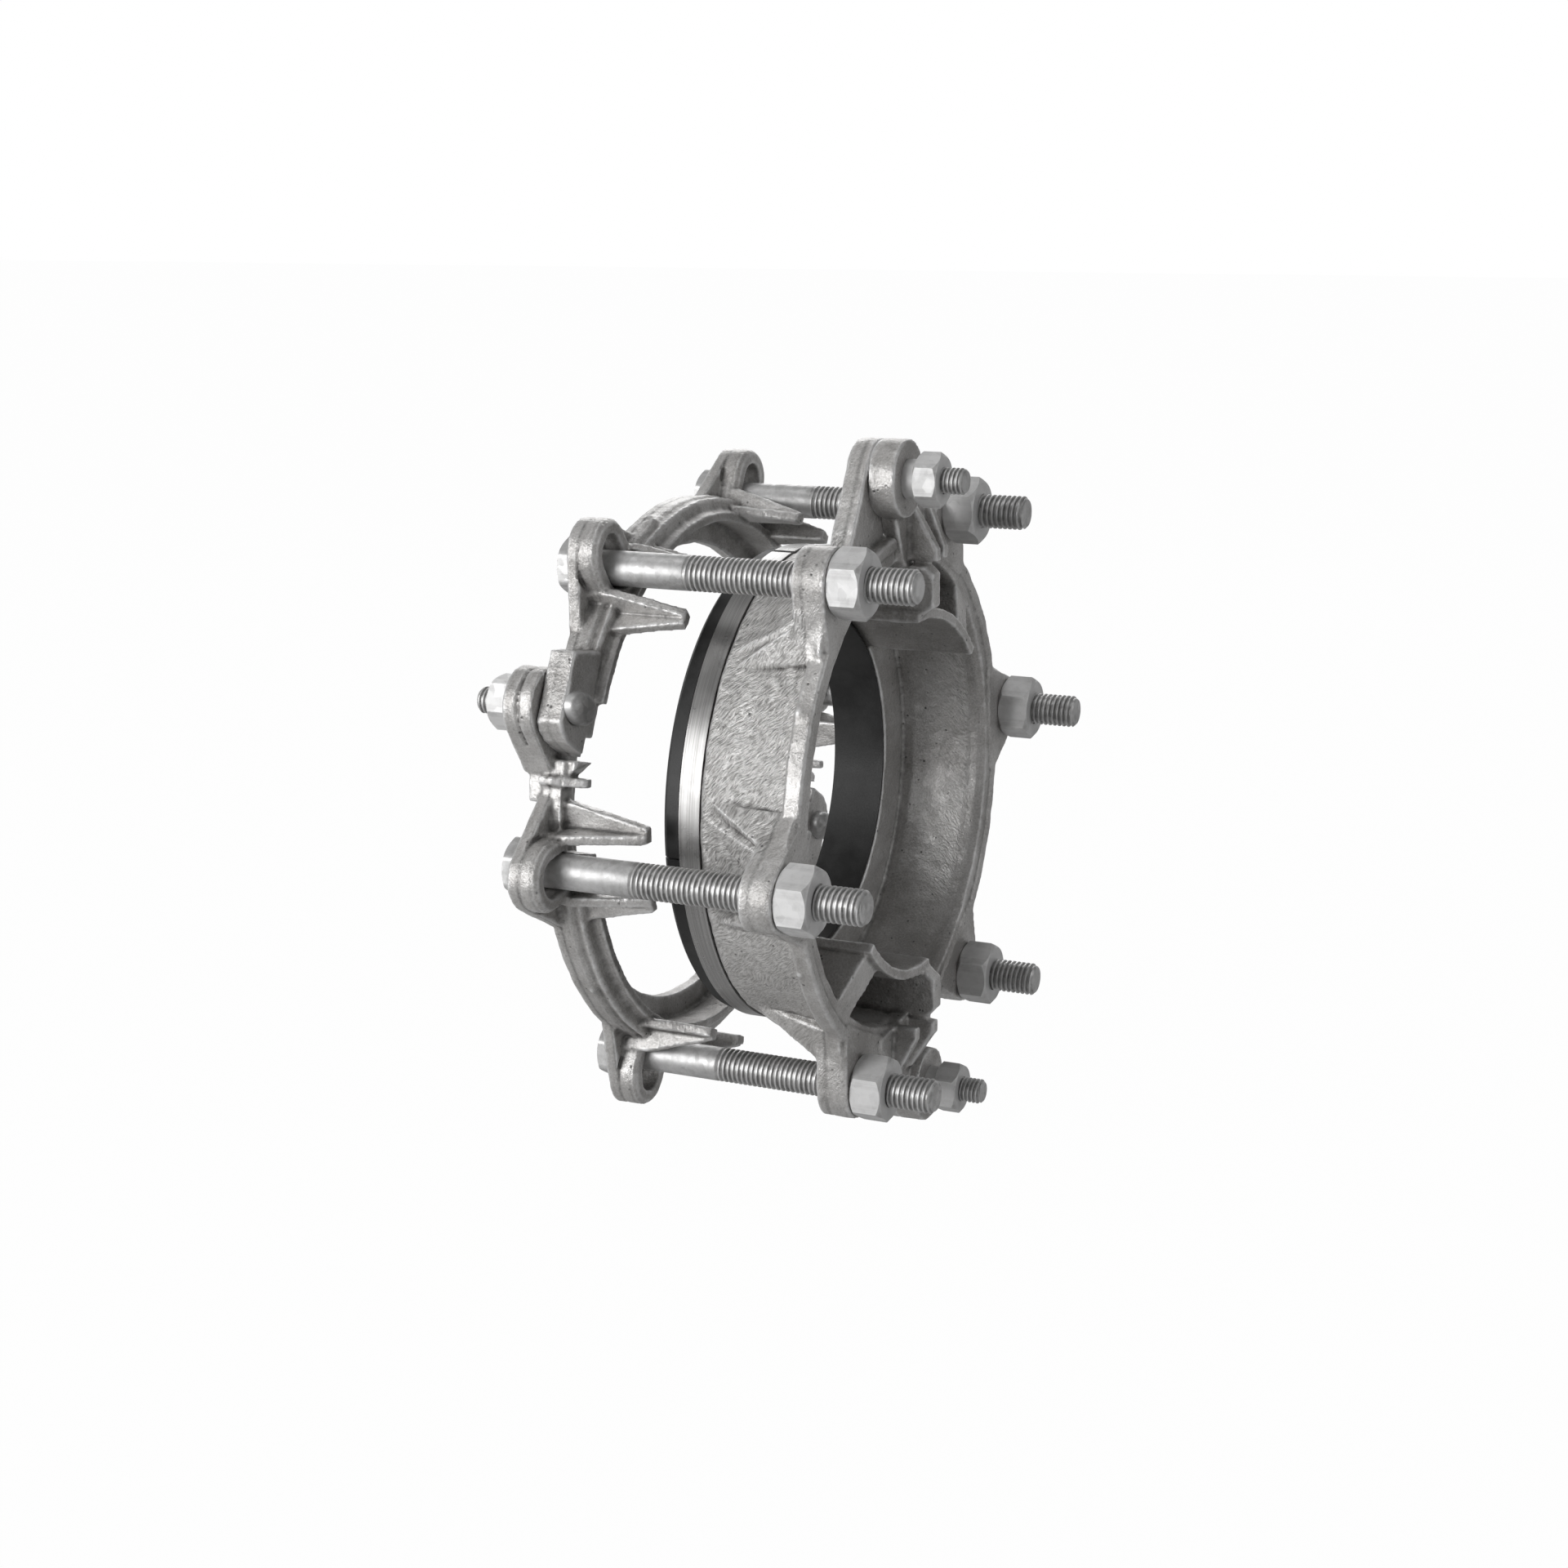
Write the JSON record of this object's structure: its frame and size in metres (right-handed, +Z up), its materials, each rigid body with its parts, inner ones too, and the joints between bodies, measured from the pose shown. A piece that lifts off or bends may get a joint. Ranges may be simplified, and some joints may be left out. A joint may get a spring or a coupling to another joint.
{
  "type": "bell joint clamp",
  "caption": "Split cast clamp that grips behind a pipe bell and draws a gland ring and rubber gasket onto the bell's face with long tie bolts.",
  "frame": {"origin": "on the pipe axis in the middle plane of the bell ring, where it grips the bell", "axes": "+X along the pipe from the bell towards the spigot pipe, +Z up"},
  "size_m": [0.1497, 0.2574, 0.2656],
  "materials": {
    "ring_casting": "rough cast, galvanised",
    "bolt_steel": "zinc plated",
    "nut_steel": "zinc plated",
    "band_steel": "turned bright",
    "gasket_rubber": "matte moulded rubber"
  },
  "bodies": {
    "bell_end": {"bell_ring_upper": "ring_casting", "bell_ring_lower": "ring_casting", "tie_bolt_a": "bolt_steel", "tie_bolt_b": "bolt_steel", "tie_bolt_c": "bolt_steel", "tie_bolt_d": "bolt_steel", "tie_bolt_e": "bolt_steel", "tie_bolt_f": "bolt_steel", "bell_joint_bolt_front": "bolt_steel", "bell_joint_bolt_rear": "bolt_steel", "bell_joint_nut_front": "nut_steel", "bell_joint_nut_rear": "nut_steel"},
    "gland_end": {"gland_ring_front": "ring_casting", "gland_ring_rear": "ring_casting", "gasket": "gasket_rubber", "gasket_band_front": "band_steel", "gasket_band_rear": "band_steel", "gland_joint_bolt_top": "bolt_steel", "gland_joint_bolt_bottom": "bolt_steel", "gland_joint_washer_top": "nut_steel", "gland_joint_washer_bottom": "nut_steel", "gland_joint_nut_top": "nut_steel", "gland_joint_nut_bottom": "nut_steel"},
    "nut_a": {"tie_nut_a": "nut_steel"},
    "nut_b": {"tie_nut_b": "nut_steel"},
    "nut_c": {"tie_nut_c": "nut_steel"},
    "nut_d": {"tie_nut_d": "nut_steel"},
    "nut_e": {"tie_nut_e": "nut_steel"},
    "nut_f": {"tie_nut_f": "nut_steel"}
  },
  "joints": [
    {"name": "gland_slide", "type": "slide", "parent": "bell_end", "child": "gland_end", "axis": [1, 0, 0], "range_m": [0, 0.016]},
    {"name": "tie_nut_a_spin", "type": "hinge", "parent": "gland_end", "child": "nut_a", "pos_m": [0.091, -0.0662, 0.08785], "axis": [1, 0, 0], "range_deg": [0, 2948.8]},
    {"name": "tie_nut_b_spin", "type": "hinge", "parent": "gland_end", "child": "nut_b", "pos_m": [0.091, -0.10918, -0.01341], "axis": [1, 0, 0], "range_deg": [0, 2948.8]},
    {"name": "tie_nut_c_spin", "type": "hinge", "parent": "gland_end", "child": "nut_c", "pos_m": [0.091, -0.04298, -0.10126], "axis": [1, 0, 0], "range_deg": [0, 2948.8]},
    {"name": "tie_nut_d_spin", "type": "hinge", "parent": "gland_end", "child": "nut_d", "pos_m": [0.091, 0.0662, -0.08785], "axis": [1, 0, 0], "range_deg": [0, 2948.8]},
    {"name": "tie_nut_e_spin", "type": "hinge", "parent": "gland_end", "child": "nut_e", "pos_m": [0.091, 0.10918, 0.01341], "axis": [1, 0, 0], "range_deg": [0, 2948.8]},
    {"name": "tie_nut_f_spin", "type": "hinge", "parent": "gland_end", "child": "nut_f", "pos_m": [0.091, 0.04298, 0.10126], "axis": [1, 0, 0], "range_deg": [0, 2948.8]}
  ],
  "couplings": [
    {"joint": "tie_nut_a_spin", "follows": "gland_slide", "rad_per_m": 3215.6},
    {"joint": "tie_nut_b_spin", "follows": "gland_slide", "rad_per_m": 3215.6},
    {"joint": "tie_nut_c_spin", "follows": "gland_slide", "rad_per_m": 3215.6},
    {"joint": "tie_nut_d_spin", "follows": "gland_slide", "rad_per_m": 3215.6},
    {"joint": "tie_nut_e_spin", "follows": "gland_slide", "rad_per_m": 3215.6},
    {"joint": "tie_nut_f_spin", "follows": "gland_slide", "rad_per_m": 3215.6}
  ]
}
